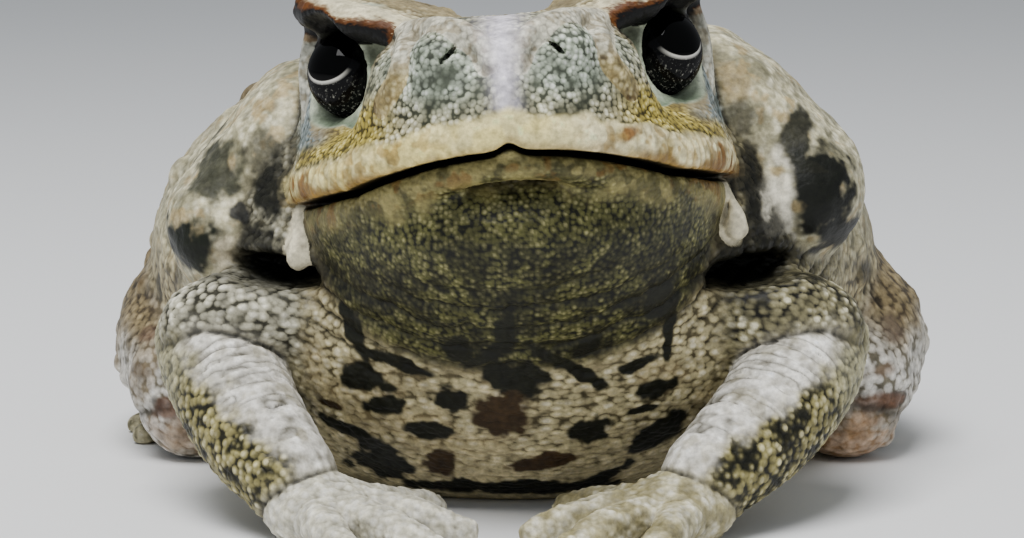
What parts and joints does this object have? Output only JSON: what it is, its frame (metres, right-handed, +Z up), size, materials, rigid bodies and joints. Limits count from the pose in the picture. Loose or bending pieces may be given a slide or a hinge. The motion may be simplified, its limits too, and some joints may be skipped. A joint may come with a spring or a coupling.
{
  "type": "cane toad",
  "caption": "Life-size model of a cane toad sitting square on, head up, with bony brows, big poison glands and a wide shut mouth.",
  "frame": {"origin": "bottom centre of the model's box, on the floor it sits on", "axes": "+Z up, +X to the toad's left, -Y the way it faces, +Y along the body to the rump"},
  "size_m": [0.1266, 0.1563, 0.0777],
  "materials": {
    "eye": "wet, glossy dark eye with a gold and silver rim to the pupil",
    "head_skin": "satin, granular skin over bony ridges, cream and grey-green with rust brown edges",
    "throat_skin": "satin, finely granular olive skin with a thin cream lip",
    "gland_skin": "satin, pale pitted gland skin with black and tan blotches",
    "limb_skin": "satin, wrinkled and warty skin, whitish at the hands",
    "trunk_skin": "satin, warty skin, brown above and cream with black blotches below"
  },
  "bodies": {
    "root": {"eye_right": "eye", "eye_left": "eye", "head": "head_skin", "lower_jaw": "throat_skin", "parotoid_right": "gland_skin", "parotoid_left": "gland_skin", "hand_right": "limb_skin", "hand_left": "limb_skin", "forearm_right": "limb_skin", "forearm_left": "limb_skin", "upper_arm_right": "limb_skin", "upper_arm_left": "limb_skin", "foot_right": "limb_skin", "foot_left": "limb_skin", "shank_right": "limb_skin", "shank_left": "limb_skin", "thigh_right": "limb_skin", "thigh_left": "limb_skin", "trunk": "trunk_skin"}
  },
  "joints": []
}
